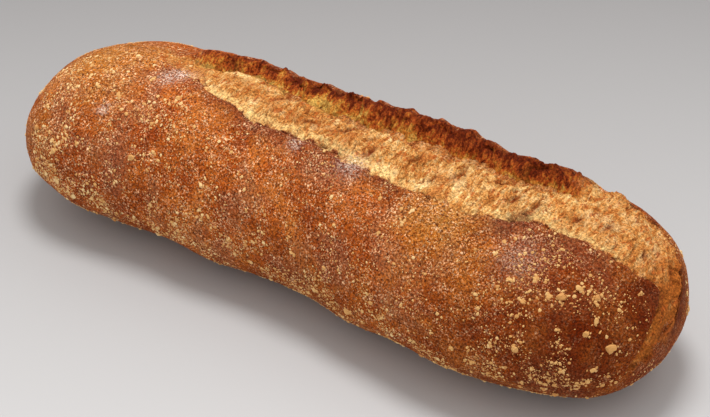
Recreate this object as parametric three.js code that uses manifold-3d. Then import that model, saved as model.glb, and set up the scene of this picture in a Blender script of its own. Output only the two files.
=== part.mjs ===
// Corn bread loaf: a long hand-shaped loaf, baked free-standing, with one slash along its top.
// Millimetres. +X runs along the loaf to its blunter end, -Y is the side that the slash leans
// towards, +Z is up, and the loaf rests on z = 0 with its box centred on the origin.
// The loaf is one closed skin: a sphere's grid drawn out to the loaf's section, then pushed in
// and out for the slash, its lifted ear, the torn crumb and the dents, with corn grits fused on.

import * as THREE from 'three';
import { mergeVertices } from 'three/addons/utils/BufferGeometryUtils.js';
import Module from 'manifold-3d';

// ---- The loaf's body ----

const LENGTH = 300;
const WAIST_HEIGHT = 30.8;
const SPINE_REACH = 97;

// Half-widths to the near and the far side and the crest's height, at places along the loaf.
const NEAR_HALF_WIDTH = [
  [-130, 57], [-95, 47], [-60, 43.8], [10, 43.5], [35, 49.2], [60, 51.9], [130, 53.4],
];
const FAR_HALF_WIDTH = [[-130, 47.1], [-95, 49], [-60, 47.5], [10, 47.5], [60, 47.5], [130, 48.9]];
const CREST_HEIGHT = [[-130, 72], [-95, 71.5], [-60, 72.2], [10, 72.6], [60, 71.5], [130, 71.7]];

// How full each end is: the section's scale is (1 - |s|^fullness)^roundness at s of the way out.
const LEFT_END = { fullness: 5, roundness: 0.49 };
const RIGHT_END = { fullness: 6.31, roundness: 0.455 };

// The underside would be this much deeper than the waist's height; the tray cuts it off flat.
const UNDERSIDE_DEPTH = 1.1;

// ---- The slash: distances along it are taken over the top and down the right end ----

const OVER_THE_END = { from: 100, to: 125 };

// Plan position (y) of the near crust's torn edge, and of the far crest of the torn crumb.
const CRUST_EDGE = [
  [-112, 6], [-95, 4], [-80, 0.5], [-60, -8], [-38, -13.5], [0, -16.5], [40, -19], [62, -18.5],
  [85, -16.5], [112, -12], [144, -10.5], [161, -5], [170, -10], [186, -27],
];
const CRUMB_CREST = [
  [-112, 9], [-72, 8.5], [-44, 10.5], [-27, 5], [-5, 2.8], [25, 2.8], [60, 5], [78, 4],
  [98, 11], [120, 7.5], [150, 2], [178, 1], [192, -13],
];

// The ear: the far crust, lifted along the slash. How far its rim lies from the crumb's crest,
// the rise at its rim, and how deep the cleft lies.
const RIM_FROM_CREST = [
  [-110, 8], [-75, 9], [-45, 10.5], [-15, 12.5], [25, 11.5], [84, 9.5], [100, 11], [116, 18],
  [130, 22], [148, 23], [158, 18], [167, 11], [176, 6], [192, 6],
];
const EAR_RISE = [
  [-125, -0.4], [-105, -1], [-90, -1.5], [-76, 4], [-64, 4.2], [-50, 3.6], [-30, 3.8], [-12, 5.6],
  [8, 5.8], [30, 8], [48, 8.2], [60, 4.8], [70, 4.4], [80, 6.4], [96, 5.1], [105, 1.3], [118, 0.5],
  [150, 0.5], [170, 1], [184, 0],
];
const CLEFT_DEPTH = [
  [-110, 0], [-65, 1], [-44, 2.6], [-18, 2], [0, 4.2], [90, 4.6], [103, 1.2], [115, 0.5],
  [165, 0.6], [184, 0],
];
const CRUST_LIP = [
  [-105, 0], [-80, 0.7], [-40, 1.3], [38, 1.4], [50, 0.3], [74, 0.3], [86, 1.6], [160, 1.5], [188, 0],
];

const CLEFT_FROM_CREST = 4;
const CLEFT_HALF_WIDTH = 2.6;
const RIM_HALF_WIDTH = 0.7;
const EAR_INNER_RUN = 6;
const EAR_OUTER_RUN = 11;
const EAR_LEAN = 0.18;
const LIP_RUN = 5;
const CRUMB_SINK = 0.9;
const CRUMB_FADE_IN = { from: -112, to: -80 };
const CRUMB_FADE_OUT = { from: 178, to: 196 };
const TEAR_STEP = 1.2;

// Dents and swellings in the crust: place along, angle round from the far side, reach and depth.
const DENTS = [
  { x: 34, angle: 160, reach: 13, depth: 1.3 },
  { x: -20, angle: 150, reach: 26, depth: 1.0 },
  { x: 78, angle: 138, reach: 20, depth: -0.8 },
  { x: -95, angle: 128, reach: 22, depth: -0.7 },
  { x: 8, angle: 128, reach: 18, depth: -0.7 },
  { x: -60, angle: 150, reach: 20, depth: 0.7 },
  { x: 112, angle: 150, reach: 18, depth: 0.6 },
];

// Long, low waves all over the crust, as from hands and uneven rising.
const WAVE_COUNT = 6;
const WAVE_LENGTH = 58;
const WAVE_SHRINK = 0.8;
const WAVE_HEIGHT = 0.42;
const GOLDEN_ANGLE = Math.PI * (3 - Math.sqrt(5));

// The torn edges wander to and fro, the rim is uneven by a share of its rise, and the crumb
// is torn in ridges that run across it at a slant.
const EDGE_WANDER = { height: 0.8, length: 23, seed: 1 };
const CREST_WANDER = { height: 0.9, length: 19, seed: 2 };
const RIM_WANDER = { height: 0.12, length: 13, seed: 3 };
const CRUMB_RIDGE = { height: 0.45, length: 12, slant: 0.5, seed: 5 };
// The three sine waves that every wandering line is made of.
const WANDER_WAVES = [{ size: 0.6, pace: 1, phase: 1 }, { size: 0.4, pace: 0.46, phase: 2.3 },
  { size: 0.3, pace: 1.87, phase: 4.1 }];

// ---- The grid ----

const STATIONS = 80;
const STRAIGHT_SHARE = 0.7;
const STRAIGHT_REACH = 0.8;

// Zones round the section, in the order of the grid's columns, and the columns in each.
const ZONES = [
  { end: 'earFoot', columns: 5 }, { end: 'rimOutside', columns: 4 }, { end: 'rimInside', columns: 1 },
  { end: 'cleft', columns: 3 }, { end: 'crest', columns: 2 }, { end: 'crumbEdge', columns: 6 },
  { end: 'crustEdge', columns: 1 }, { end: 'nearWaist', columns: 12 }, { end: 'farWaist', columns: 22 },
];
// Where the zones end on the small sections towards the tips, degrees round from the far side.
const TIP_ANGLES = [52, 73, 75, 80, 85, 106, 109, 180, 360];
const TIP_SECTION = { from: 0.42, to: 0.72 };
const WIDEST_COSINE = 0.95;

// ---- Corn grits ----

const GRIT_SEED = 20;
const GRIT_COUNT = 120;
const GRIT_RADIUS = { least: 0.85, most: 1.4 };
const GRIT_STAND = 0.05;
const GRIT_SHAPE = { flattest: 0.62, longest: 1.35 };
const GRIT_CLEARANCE = 4.2;
const GRIT_TRIES = 6000;
const LOWEST_GRIT = 3;
const GRIT_FROM_TEAR = 2.5;
const GRIT_FROM_TIP = 2;
// Grits lie thickest on both ends and along the lower edge, where the loaf took up most meal,
// and in a few drifts on the near side.
const GRIT_THICKNESS = { everywhere: 0.1, rightEnd: 0.25, leftEnd: 0.3, lowerEdge: 0.4, topShare: 0.8 };
const GRIT_DRIFTS = [
  { x: 122, angle: 124, reach: 14, amount: 0.9 },
  { x: 107, angle: 125, reach: 8, amount: 0.6 },
  { x: 122, angle: 150, reach: 12, amount: 0.5 },
  { x: 120, angle: 178, reach: 20, amount: 0.4 },
  { x: 97, angle: 134, reach: 9, amount: 0.5 },
  { x: 53, angle: 123, reach: 8, amount: 0.4 },
  { x: -68, angle: 131, reach: 12, amount: 0.6 },
  { x: -113, angle: 103, reach: 13, amount: 0.8 },
  { x: -113, angle: 154, reach: 11, amount: 0.8 },
];
const GRIT_RIGHT_END = { from: 70, to: 120 };
const GRIT_LEFT_END = { from: -125, to: -80 };
const GRIT_LOWER_EDGE = { up: -0.15, reach: 0.3 };

// The grits that stand out, by place and size.
const LARGE_GRITS = [
  { x: 139, angle: 158, radius: 2.1 },
  { x: 118, angle: 134, radius: 1.8 },
  { x: 122, angle: 127, radius: 1.5 },
  { x: 132, angle: 141, radius: 1.5 },
  { x: 34, angle: 193, radius: 1.7 },
  { x: -128, angle: 153, radius: 1.6 },
  { x: -68, angle: 112, radius: 1.5 },
  { x: 108, angle: 168, radius: 1.5 },
];

const CRUST_COLOUR = 0x9e5a30;
const CRUST_ROUGHNESS = 0.75;

// ---- Helpers ----

const UP = new THREE.Vector3(0, 0, 1);
const radians = THREE.MathUtils.degToRad;
const smoothstep = THREE.MathUtils.smoothstep;
const lerp = THREE.MathUtils.lerp;
const bell = (t) => Math.exp(-t * t);

// A smooth curve through [place, value] pairs, level beyond its ends.
function along(pairs, place) {
  const last = pairs.length - 1;
  if (place <= pairs[0][0]) return pairs[0][1];
  if (place >= pairs[last][0]) return pairs[last][1];
  let k = 0;
  while (place > pairs[k + 1][0]) k += 1;
  const slope = (i) => {
    const before = pairs[Math.max(i - 1, 0)];
    const after = pairs[Math.min(i + 1, last)];
    return (after[1] - before[1]) / (after[0] - before[0]);
  };
  const span = pairs[k + 1][0] - pairs[k][0];
  const t = (place - pairs[k][0]) / span;
  const rest = 1 - t;
  return pairs[k][1] * (1 + 2 * t) * rest * rest + span * slope(k) * t * rest * rest
    + pairs[k + 1][1] * t * t * (1 + 2 * rest) - span * slope(k + 1) * t * t * rest;
}

// An uneven wave about as high and as long as asked, for edges that wander.
function wander(place, { height, length, seed }) {
  const turn = 2 * Math.PI * place / length;
  const waves = WANDER_WAVES.map((wave) => wave.size * Math.sin(wave.pace * turn + wave.phase * seed));
  return height * waves.reduce((sum, wave) => sum + wave, 0);
}

// Seeded random numbers from 0 to 1, the same on every run.
function randomFrom(seed) {
  let state = seed;
  return () => {
    state = (state + 0x6d2b79f5) | 0;
    let t = Math.imul(state ^ (state >>> 15), 1 | state);
    t = (t + Math.imul(t ^ (t >>> 7), 61 | t)) ^ t;
    return ((t ^ (t >>> 14)) >>> 0) / 4294967296;
  };
}

// ---- The body's form ----

// The section's scale, 1 along the loaf and 0 at its tips.
function sectionScale(x) {
  const s = 2 * x / LENGTH;
  const end = s < 0 ? LEFT_END : RIGHT_END;
  return Math.pow(Math.max(1 - Math.pow(Math.abs(s), end.fullness), 0), end.roundness);
}

// A point of the plain body: angle 0 is the far waist, 90 the crest, 180 the near waist.
function bodyPoint(x, angle) {
  const scale = sectionScale(x);
  const halfWidth = along(Math.cos(angle) > 0 ? FAR_HALF_WIDTH : NEAR_HALF_WIDTH, x);
  const up = Math.sin(angle);
  const reach = up > 0 ? along(CREST_HEIGHT, x) - WAIST_HEIGHT : WAIST_HEIGHT * UNDERSIDE_DEPTH;
  return new THREE.Vector3(x, halfWidth * scale * Math.cos(angle), WAIST_HEIGHT + scale * reach * up);
}

// Straight out of the loaf, from the line along its middle.
function outward(point) {
  const spineX = THREE.MathUtils.clamp(point.x, -SPINE_REACH, SPINE_REACH);
  return point.clone().sub(new THREE.Vector3(spineX, 0, WAIST_HEIGHT)).normalize();
}

// Distance along the slash: x on top of the loaf, and on down its right end.
function slashDistance(point) {
  const over = smoothstep(point.x, OVER_THE_END.from, OVER_THE_END.to);
  return point.x + over * (along(CREST_HEIGHT, point.x) - point.z);
}

function edgeAt(place) {
  return along(CRUST_EDGE, place) + wander(place, EDGE_WANDER);
}

function crestAt(place) {
  return along(CRUMB_CREST, place) + wander(place, CREST_WANDER);
}

function rimAt(place) {
  return crestAt(place) + along(RIM_FROM_CREST, place);
}

function riseAt(place) {
  return along(EAR_RISE, place) * (1 + wander(place, RIM_WANDER));
}

// How far the slash lifts or sinks the skin at a place along it and a plan position across it.
function slashRelief(place, y) {
  const edge = edgeAt(place);
  const crest = crestAt(place);
  const rim = rimAt(place);
  const inside = smoothstep(y, rim - EAR_INNER_RUN, rim - RIM_HALF_WIDTH);
  const outside = 1 - smoothstep(y, rim + RIM_HALF_WIDTH, rim + EAR_OUTER_RUN);
  const ear = riseAt(place) * (y < rim ? inside : outside);
  const cleft = -along(CLEFT_DEPTH, place) * bell((y - crest - CLEFT_FROM_CREST) / CLEFT_HALF_WIDTH);
  const open = smoothstep(place, CRUMB_FADE_IN.from, CRUMB_FADE_IN.to)
    * (1 - smoothstep(place, CRUMB_FADE_OUT.from, CRUMB_FADE_OUT.to));
  const inCrumb = smoothstep(y, edge - TEAR_STEP / 2, edge + TEAR_STEP / 2) * (1 - smoothstep(y, crest, rim));
  const ridges = wander(place + CRUMB_RIDGE.slant * y, CRUMB_RIDGE);
  const crumb = open * inCrumb * (ridges - CRUMB_SINK);
  const lip = along(CRUST_LIP, place) * (y < edge ? bell((edge - y) / LIP_RUN) : 0) * (1 - inCrumb);
  return { rise: ear + cleft + crumb + lip, lean: -EAR_LEAN * ear };
}

// Dents, swellings and long waves in the crust.
function crustRelief(point) {
  let rise = 0;
  for (const dent of DENTS) {
    const away = point.distanceTo(bodyPoint(dent.x, radians(dent.angle)));
    rise -= dent.depth * bell(away / dent.reach);
  }
  for (let i = 0; i < WAVE_COUNT; i += 1) {
    const tilt = (i + 0.5) / WAVE_COUNT;
    const turn = i * GOLDEN_ANGLE;
    const flat = Math.sqrt(1 - tilt * tilt);
    const across = point.x * flat * Math.cos(turn) + point.y * flat * Math.sin(turn) + point.z * tilt;
    const length = WAVE_LENGTH * Math.pow(WAVE_SHRINK, i);
    rise += WAVE_HEIGHT * Math.pow(WAVE_SHRINK, i) * Math.sin(2 * Math.PI * across / length + i);
  }
  return rise;
}

// The finished skin's point over a place on the plain body.
function skinPoint(x, angle) {
  const point = bodyPoint(x, angle);
  const slash = { rise: 0, lean: 0 };
  if (Math.sin(angle) > 0 || x > OVER_THE_END.to) {
    Object.assign(slash, slashRelief(slashDistance(point), point.y));
  }
  point.addScaledVector(outward(point), slash.rise + crustRelief(point));
  point.y += slash.lean;
  point.z = Math.max(point.z, 0);
  return point;
}

// ---- The skin's grid ----

// Share of the half length for a share of the grid: even along the loaf, finer round the ends.
function stationShare(share) {
  const size = Math.abs(share);
  if (size < STRAIGHT_SHARE) return share * STRAIGHT_REACH / STRAIGHT_SHARE;
  const turn = Math.PI / 2 * (size - STRAIGHT_SHARE) / (1 - STRAIGHT_SHARE);
  return Math.sign(share) * (STRAIGHT_REACH + (1 - STRAIGHT_REACH) * Math.sin(turn));
}

// The angles round the section at which the zones end, so that columns follow the slash.
function zoneAngles(x) {
  const scale = sectionScale(x);
  const follow = smoothstep(scale, TIP_SECTION.from, TIP_SECTION.to);
  const edge = edgeAt(x);
  const crest = crestAt(x);
  const rim = rimAt(x);
  const lines = [
    rim + EAR_OUTER_RUN, rim + RIM_HALF_WIDTH, rim - RIM_HALF_WIDTH, crest + CLEFT_FROM_CREST, crest,
    edge + TEAR_STEP / 2, edge - TEAR_STEP / 2,
  ];
  return TIP_ANGLES.map((tip, i) => {
    if (i >= lines.length || follow === 0) return radians(tip);
    const halfWidth = along(lines[i] > 0 ? FAR_HALF_WIDTH : NEAR_HALF_WIDTH, x) * scale;
    const angle = Math.acos(THREE.MathUtils.clamp(lines[i] / halfWidth, -WIDEST_COSINE, WIDEST_COSINE));
    return lerp(radians(tip), angle, follow);
  });
}

// The angle of a column, counted from the far waist over the top.
function columnAngle(angles, column) {
  let first = 0;
  let from = 0;
  for (let i = 0; i < ZONES.length; i += 1) {
    const to = angles[i];
    if (column <= first + ZONES[i].columns) return lerp(from, to, (column - first) / ZONES[i].columns);
    first += ZONES[i].columns;
    from = to;
  }
  return from;
}

// A sphere's grid, its poles laid along X, drawn out to the loaf's skin.
function loafSkin() {
  const columns = ZONES.reduce((sum, zone) => sum + zone.columns, 0);
  const sphere = new THREE.SphereGeometry(1, columns, STATIONS);
  const positions = sphere.attributes.position;
  for (let row = 0; row <= STATIONS; row += 1) {
    const x = stationShare(1 - 2 * row / STATIONS) * LENGTH / 2;
    const angles = zoneAngles(x);
    for (let column = 0; column <= columns; column += 1) {
      const point = skinPoint(x, columnAngle(angles, column % columns));
      positions.setXYZ(row * (columns + 1) + column, point.x, point.y, point.z);
    }
  }
  return sphere;
}

// ---- Grits ----

// How thickly grits lie, 0 to 1.
function gritDensity(x, angle) {
  const rightEnd = smoothstep(x, GRIT_RIGHT_END.from, GRIT_RIGHT_END.to);
  const leftEnd = 1 - smoothstep(x, GRIT_LEFT_END.from, GRIT_LEFT_END.to);
  const lowerEdge = bell((Math.sin(angle) - GRIT_LOWER_EDGE.up) / GRIT_LOWER_EDGE.reach);
  const spread = GRIT_THICKNESS.everywhere + GRIT_THICKNESS.rightEnd * rightEnd
    + GRIT_THICKNESS.leftEnd * leftEnd + GRIT_THICKNESS.lowerEdge * lowerEdge;
  const point = bodyPoint(x, angle);
  const drifts = GRIT_DRIFTS.map((drift) => {
    const away = point.distanceTo(bodyPoint(drift.x, radians(drift.angle)));
    return drift.amount * bell(away / drift.reach);
  });
  const onTop = lerp(1, GRIT_THICKNESS.topShare, Math.max(Math.sin(angle), 0));
  return Math.min(1, spread * onTop + Math.max(...drifts));
}

// A grit: a small uneven nugget, part sunk in the crust, with more faces on the large ones.
function grit(x, angle, radius, random) {
  const centre = skinPoint(x, angle);
  centre.addScaledVector(outward(centre), radius * GRIT_STAND);
  const large = radius > GRIT_RADIUS.most;
  const nugget = large ? new THREE.IcosahedronGeometry(radius, 0) : new THREE.OctahedronGeometry(radius, 0);
  const stretch = () => lerp(GRIT_SHAPE.flattest, GRIT_SHAPE.longest, random());
  nugget.scale(stretch(), stretch(), GRIT_SHAPE.flattest);
  nugget.rotateZ(random() * Math.PI);
  nugget.applyQuaternion(new THREE.Quaternion().setFromUnitVectors(UP, outward(centre)));
  nugget.translate(centre.x, centre.y, centre.z);
  return nugget;
}

// Places for the grits: thrown at random, kept where the density lets them and clear of others.
function gritPlaces() {
  const random = randomFrom(GRIT_SEED);
  const places = LARGE_GRITS.map((large) => ({ ...large, angle: radians(large.angle) }));
  for (let i = 0; i < GRIT_TRIES && places.length < GRIT_COUNT; i += 1) {
    const x = (random() - 0.5) * (LENGTH - GRIT_FROM_TIP);
    const angle = random() * 2 * Math.PI;
    const size = random();
    const keep = random();
    const point = skinPoint(x, angle);
    const distance = slashDistance(point);
    const nearCrust = point.y < edgeAt(distance) - GRIT_FROM_TEAR;
    const onCrust = nearCrust || point.y > rimAt(distance) + GRIT_FROM_TEAR;
    const crowded = places.some((p) => skinPoint(p.x, p.angle).distanceTo(point) < GRIT_CLEARANCE);
    if (onCrust && !crowded && point.z > LOWEST_GRIT && keep < gritDensity(x, angle)) {
      places.push({ x, angle, radius: lerp(GRIT_RADIUS.least, GRIT_RADIUS.most, size * size) });
    }
  }
  return places;
}

// ---- Joining ----

const wasm = await Module();
wasm.setup();

function solidFrom(geometry) {
  geometry.deleteAttribute('normal');
  geometry.deleteAttribute('uv');
  const merged = mergeVertices(geometry);
  return new wasm.Manifold(new wasm.Mesh({
    numProp: 3,
    vertProperties: new Float32Array(merged.attributes.position.array),
    triVerts: new Uint32Array(merged.index.array),
  }));
}

function geometryFrom(solid) {
  const mesh = solid.getMesh();
  const geometry = new THREE.BufferGeometry();
  geometry.setAttribute('position', new THREE.BufferAttribute(mesh.vertProperties, 3));
  geometry.setIndex(new THREE.BufferAttribute(mesh.triVerts, 1));
  return geometry;
}

// Sets the loaf's box on the origin, standing on z = 0.
function centred(geometry) {
  geometry.computeBoundingBox();
  const middle = geometry.boundingBox.getCenter(new THREE.Vector3());
  geometry.translate(-middle.x, -middle.y, -geometry.boundingBox.min.z);
  return geometry;
}

function loafSolid() {
  let solid = solidFrom(loafSkin());
  const random = randomFrom(GRIT_SEED + 1);
  for (const place of gritPlaces()) {
    solid = solid.add(solidFrom(grit(place.x, place.angle, place.radius, random)));
  }
  return centred(geometryFrom(solid));
}

const crust = new THREE.MeshStandardMaterial({
  color: CRUST_COLOUR,
  roughness: CRUST_ROUGHNESS,
  metalness: 0,
});
const loaf = new THREE.Mesh(loafSolid(), crust);
loaf.name = 'loaf';

const group = new THREE.Group();
group.add(loaf);

export default group;
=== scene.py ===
# %% [markdown]
# # A corn bread loaf
#
# A long loaf made with corn meal, baked on a tray dusted with coarse meal. It was slashed once
# along its top. In the oven the slash tore open: the far lip lifted into an ear, golden crumb
# rose in the gap, and the crust round it browned. We start from the measured loaf, which comes
# as a plain solid, and dress it with a finer skin, thousands of corn grits and baked colours.

# %% Load the measured loaf
import math

import bmesh
import bpy
import numpy as np
from mathutils import Matrix, Vector, noise


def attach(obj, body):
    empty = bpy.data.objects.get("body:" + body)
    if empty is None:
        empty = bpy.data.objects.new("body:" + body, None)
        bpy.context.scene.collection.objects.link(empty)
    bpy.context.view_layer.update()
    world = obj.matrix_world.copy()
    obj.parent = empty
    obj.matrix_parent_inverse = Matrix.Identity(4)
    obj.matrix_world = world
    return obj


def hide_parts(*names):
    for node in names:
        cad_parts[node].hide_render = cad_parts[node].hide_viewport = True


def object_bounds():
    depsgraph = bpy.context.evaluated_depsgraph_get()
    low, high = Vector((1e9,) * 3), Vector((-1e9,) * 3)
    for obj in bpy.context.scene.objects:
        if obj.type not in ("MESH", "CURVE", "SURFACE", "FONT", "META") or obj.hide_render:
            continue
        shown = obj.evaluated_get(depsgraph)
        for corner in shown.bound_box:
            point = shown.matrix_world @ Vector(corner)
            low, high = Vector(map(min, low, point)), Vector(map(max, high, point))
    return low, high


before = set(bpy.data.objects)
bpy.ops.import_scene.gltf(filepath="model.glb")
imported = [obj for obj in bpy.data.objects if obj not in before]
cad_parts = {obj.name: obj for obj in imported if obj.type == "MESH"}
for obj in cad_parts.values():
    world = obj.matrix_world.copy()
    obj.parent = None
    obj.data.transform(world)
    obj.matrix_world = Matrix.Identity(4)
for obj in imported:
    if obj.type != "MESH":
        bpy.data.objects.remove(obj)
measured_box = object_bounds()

MM = 0.001
print("the measured loaf, mm:", [round(c / MM, 1) for c in measured_box[1] - measured_box[0]])

# %% [markdown]
# ## The loaf's sizes
#
# The same driving dimensions as the measured solid: half-widths and crest heights at a few
# places along the loaf, how full each end is, and the lines that the slash follows. All are in
# millimetres, in [place along the loaf, value] pairs. A smooth curve joins them, so a handful
# of numbers is enough for a soft, uneven shape.

# %% The body's dimensions
LENGTH = 300
WAIST_HEIGHT = 30.8
SPINE_REACH = 97
NEAR_HALF_WIDTH = [
    (-130, 57), (-95, 47), (-60, 43.8), (10, 43.5), (35, 49.2), (60, 51.9), (130, 53.4),
]
FAR_HALF_WIDTH = [(-130, 47.1), (-95, 49), (-60, 47.5), (10, 47.5), (60, 47.5), (130, 48.9)]
CREST_HEIGHT = [(-130, 72), (-95, 71.5), (-60, 72.2), (10, 72.6), (60, 71.5), (130, 71.7)]
LEFT_END = {"fullness": 5, "roundness": 0.49}
RIGHT_END = {"fullness": 6.31, "roundness": 0.455}
UNDERSIDE_DEPTH = 1.1

# %% The slash's dimensions
OVER_THE_END = (100, 125)
CRUST_EDGE = [
    (-112, 6), (-95, 4), (-80, 0.5), (-60, -8), (-38, -13.5), (0, -16.5), (40, -19), (62, -18.5),
    (85, -16.5), (112, -12), (144, -10.5), (161, -5), (170, -10), (186, -27),
]
CRUMB_CREST = [
    (-112, 9), (-72, 8.5), (-44, 10.5), (-27, 5), (-5, 2.8), (25, 2.8), (60, 5), (78, 4),
    (98, 11), (120, 7.5), (150, 2), (178, 1), (192, -13),
]
RIM_FROM_CREST = [
    (-110, 8), (-75, 9), (-45, 10.5), (-15, 12.5), (25, 11.5), (84, 9.5), (100, 11), (116, 18),
    (130, 22), (148, 23), (158, 18), (167, 11), (176, 6), (192, 6),
]
EAR_RISE = [
    (-125, -0.4), (-105, -1), (-90, -1.5), (-76, 4), (-64, 4.2), (-50, 3.6), (-30, 3.8), (-12, 5.6),
    (8, 5.8), (30, 8), (48, 8.2), (60, 4.8), (70, 4.4), (80, 6.4), (96, 5.1), (105, 1.3), (118, 0.5),
    (150, 0.5), (170, 1), (184, 0),
]
CLEFT_DEPTH = [
    (-110, 0), (-65, 1), (-44, 2.6), (-18, 2), (0, 4.2), (90, 4.6), (103, 1.2), (115, 0.5),
    (165, 0.6), (184, 0),
]
CRUST_LIP = [
    (-105, 0), (-80, 0.7), (-40, 1.3), (38, 1.4), (50, 0.3), (74, 0.3), (86, 1.6), (160, 1.5),
    (188, 0),
]
CLEFT_FROM_CREST = 4
CLEFT_HALF_WIDTH = 2.6
RIM_HALF_WIDTH = 0.7
EAR_INNER_RUN = 6
EAR_OUTER_RUN = 11
EAR_LEAN = 0.18
LIP_RUN = 5
CRUMB_SINK = 0.9
CRUMB_FADE_IN = (-112, -80)
CRUMB_FADE_OUT = (178, 196)
TEAR_STEP = 1.2

# %% Dents, waves and wandering edges
DENTS = [
    {"x": 34, "angle": 160, "reach": 13, "depth": 1.3},
    {"x": -20, "angle": 150, "reach": 26, "depth": 1.0},
    {"x": 78, "angle": 138, "reach": 20, "depth": -0.8},
    {"x": -95, "angle": 128, "reach": 22, "depth": -0.7},
    {"x": 8, "angle": 128, "reach": 18, "depth": -0.7},
    {"x": -60, "angle": 150, "reach": 20, "depth": 0.7},
    {"x": 112, "angle": 150, "reach": 18, "depth": 0.6},
]
WAVE_COUNT = 6
WAVE_LENGTH = 58
WAVE_SHRINK = 0.8
WAVE_HEIGHT = 0.42
GOLDEN_ANGLE = math.pi * (3 - math.sqrt(5))
EDGE_WANDER = {"height": 0.8, "length": 23, "seed": 1}
CREST_WANDER = {"height": 0.9, "length": 19, "seed": 2}
RIM_WANDER = {"height": 0.12, "length": 13, "seed": 3}
CRUMB_RIDGE = {"height": 0.45, "length": 12, "slant": 0.5, "seed": 5}
WANDER_WAVES = [(0.6, 1, 1), (0.4, 0.46, 2.3), (0.3, 1.87, 4.1)]

# %% [markdown]
# ## Small helpers for smooth shapes
#
# Blender's mesh can be reshaped vertex by vertex, but a hundred thousand vertices want array
# arithmetic, so each helper takes whole arrays. `along` is the smooth curve through the pairs,
# `smoothstep` eases from 0 to 1, `bell` is a soft bump and `wander` an uneven wave.

# %% Curves, steps, bells and waves


def along(pairs, place):
    xs, ys = np.array(pairs, float).T
    slopes = np.empty_like(ys)
    slopes[1:-1] = (ys[2:] - ys[:-2]) / (xs[2:] - xs[:-2])
    slopes[0] = (ys[1] - ys[0]) / (xs[1] - xs[0])
    slopes[-1] = (ys[-1] - ys[-2]) / (xs[-1] - xs[-2])
    at = np.clip(place, xs[0], xs[-1])
    k = np.clip(np.searchsorted(xs, at, side="right") - 1, 0, len(xs) - 2)
    span = xs[k + 1] - xs[k]
    t = (at - xs[k]) / span
    rest = 1 - t
    start = ys[k] * (1 + 2 * t) * rest**2 + span * slopes[k] * t * rest**2
    return start + ys[k + 1] * t**2 * (1 + 2 * rest) - span * slopes[k + 1] * t**2 * rest


def smoothstep(value, low, high):
    t = np.clip((value - low) / (high - low), 0, 1)
    return t * t * (3 - 2 * t)


def bell(value):
    return np.exp(-np.square(value))


def wander(place, wave):
    turn = 2 * math.pi * place / wave["length"]
    return wave["height"] * sum(
        size * np.sin(pace * turn + phase * wave["seed"]) for size, pace, phase in WANDER_WAVES
    )


print("half-width and height amidships, mm:", along(NEAR_HALF_WIDTH, 0.0), along(CREST_HEIGHT, 0.0))

# %% [markdown]
# ## The plain body
#
# A loaf's section is a rounded hump on a flattened underside. We give every point of the skin
# two addresses: x along the loaf, and an angle round the section, 0 at the far waist, 90 at the
# crest and 180 at the near waist. One formula turns an address into a place.

# %% From an address to a place on the body


def section_scale(x):
    s = 2 * x / LENGTH
    fullness = np.where(s < 0, LEFT_END["fullness"], RIGHT_END["fullness"])
    roundness = np.where(s < 0, LEFT_END["roundness"], RIGHT_END["roundness"])
    return np.clip(1 - np.abs(s) ** fullness, 0, 1) ** roundness


def half_width(x, far):
    return np.where(far, along(FAR_HALF_WIDTH, x), along(NEAR_HALF_WIDTH, x))


def body_point(x, angle):
    scale = section_scale(x)
    up = np.sin(angle)
    reach = np.where(up > 0, along(CREST_HEIGHT, x) - WAIST_HEIGHT, WAIST_HEIGHT * UNDERSIDE_DEPTH)
    y = half_width(x, np.cos(angle) > 0) * scale * np.cos(angle)
    return np.stack([x + 0 * y, y, WAIST_HEIGHT + scale * reach * up], axis=-1)


def outward(points):
    away = points - [0, 0, WAIST_HEIGHT]
    away[..., 0] -= np.clip(points[..., 0], -SPINE_REACH, SPINE_REACH)
    return away / np.linalg.norm(away, axis=-1, keepdims=True)


def slash_distance(points):
    x = points[..., 0]
    return x + smoothstep(x, *OVER_THE_END) * (along(CREST_HEIGHT, x) - points[..., 2])


print("the right tip is at", body_point(np.float64(150.0), np.float64(0.0)), "mm")

# %% [markdown]
# ## The slash
#
# Across the slash, from the far side to the near side, the skin climbs the ear's outer face to
# a thin rim, drops down its inner face into a cleft, rises over the torn crumb, and steps up on
# to the raised edge of the near crust. Each is a bump or a step of y, and its size changes
# along the slash.

# %% The slash's lines and relief


def edge_at(place):
    return along(CRUST_EDGE, place) + wander(place, EDGE_WANDER)


def crest_at(place):
    return along(CRUMB_CREST, place) + wander(place, CREST_WANDER)


def rim_at(place):
    return crest_at(place) + along(RIM_FROM_CREST, place)


def rise_at(place):
    return along(EAR_RISE, place) * (1 + wander(place, RIM_WANDER))


def slash_relief(place, y):
    edge = edge_at(place)
    crest = crest_at(place)
    rim = rim_at(place)
    inside = smoothstep(y, rim - EAR_INNER_RUN, rim - RIM_HALF_WIDTH)
    outside = 1 - smoothstep(y, rim + RIM_HALF_WIDTH, rim + EAR_OUTER_RUN)
    ear = rise_at(place) * np.where(y < rim, inside, outside)
    cleft = -along(CLEFT_DEPTH, place) * bell((y - crest - CLEFT_FROM_CREST) / CLEFT_HALF_WIDTH)
    opened = smoothstep(place, *CRUMB_FADE_IN) * (1 - smoothstep(place, *CRUMB_FADE_OUT))
    in_crumb = smoothstep(y, edge - TEAR_STEP / 2, edge + TEAR_STEP / 2)
    in_crumb = in_crumb * (1 - smoothstep(y, crest, rim))
    ridges = wander(place + CRUMB_RIDGE["slant"] * y, CRUMB_RIDGE)
    crumb = opened * in_crumb * (ridges - CRUMB_SINK)
    lip = along(CRUST_LIP, place) * np.where(y < edge, bell((edge - y) / LIP_RUN), 0) * (1 - in_crumb)
    return ear + cleft + crumb + lip, -EAR_LEAN * ear


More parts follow.
